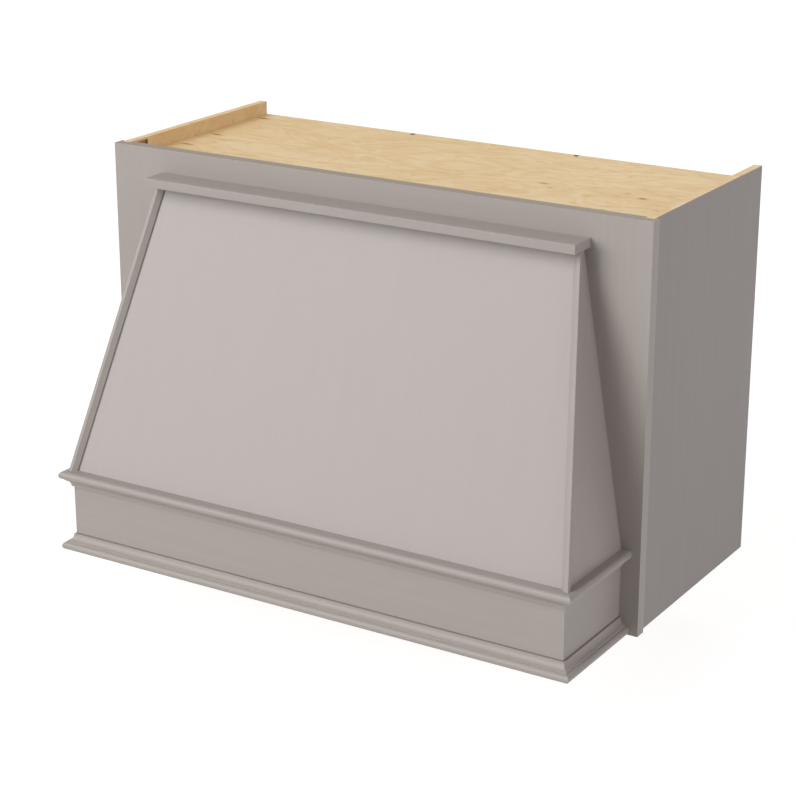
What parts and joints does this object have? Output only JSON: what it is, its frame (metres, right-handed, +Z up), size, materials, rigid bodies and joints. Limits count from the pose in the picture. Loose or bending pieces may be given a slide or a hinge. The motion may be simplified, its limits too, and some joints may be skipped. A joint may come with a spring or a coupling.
{
  "type": "wooden range hood cover",
  "caption": "Wall-hung painted wooden range hood cover: box with recessed top and a flared, sloping hood over a moulded apron, open below for a liner.",
  "frame": {"origin": "on the wall plane, at the middle of the width and level with the underside", "axes": "+X along the width, to the right of someone facing the hood; +Y into the wall; +Z up"},
  "size_m": [0.9144, 0.5682, 0.6096],
  "materials": {
    "painted_wood": "warm grey satin paint on smooth wood; the sides are bare maple inside and on their edges",
    "maple": "bare maple veneer under a clear satin coat",
    "screw_steel": "zinc-plated steel",
    "dowel_wood": "plain beech"
  },
  "bodies": {
    "root": {"stile_left": "painted_wood", "stile_right": "painted_wood", "top_rail": "painted_wood", "side_left": "painted_wood", "side_right": "painted_wood", "ledge": "painted_wood", "gusset_left": "painted_wood", "gusset_right": "painted_wood", "sloped_panel": "painted_wood", "corner_strip_left": "painted_wood", "corner_strip_right": "painted_wood", "apron_front": "painted_wood", "apron_left": "painted_wood", "apron_right": "painted_wood", "lower_moulding_front": "painted_wood", "lower_moulding_left": "painted_wood", "lower_moulding_right": "painted_wood", "upper_moulding_front": "painted_wood", "upper_moulding_left": "painted_wood", "upper_moulding_right": "painted_wood", "top_panel": "maple", "hanging_rail_top": "maple", "hanging_rail_bottom": "maple", "corner_block_left": "maple", "corner_block_right": "maple", "panel_rib_left": "maple", "panel_rib_right": "maple", "apron_rail": "maple", "apron_block_left": "maple", "apron_block_right": "maple", "gusset_cleat_left": "maple", "gusset_cleat_right": "maple", "liner_cleat_left": "maple", "liner_cleat_right": "maple", "liner_cleat_apron": "maple", "ledge_screws": "screw_steel", "gusset_screws": "screw_steel", "apron_screws": "screw_steel", "top_screws": "screw_steel", "cleat_screws": "screw_steel", "rail_dowels": "dowel_wood"}
  },
  "joints": []
}
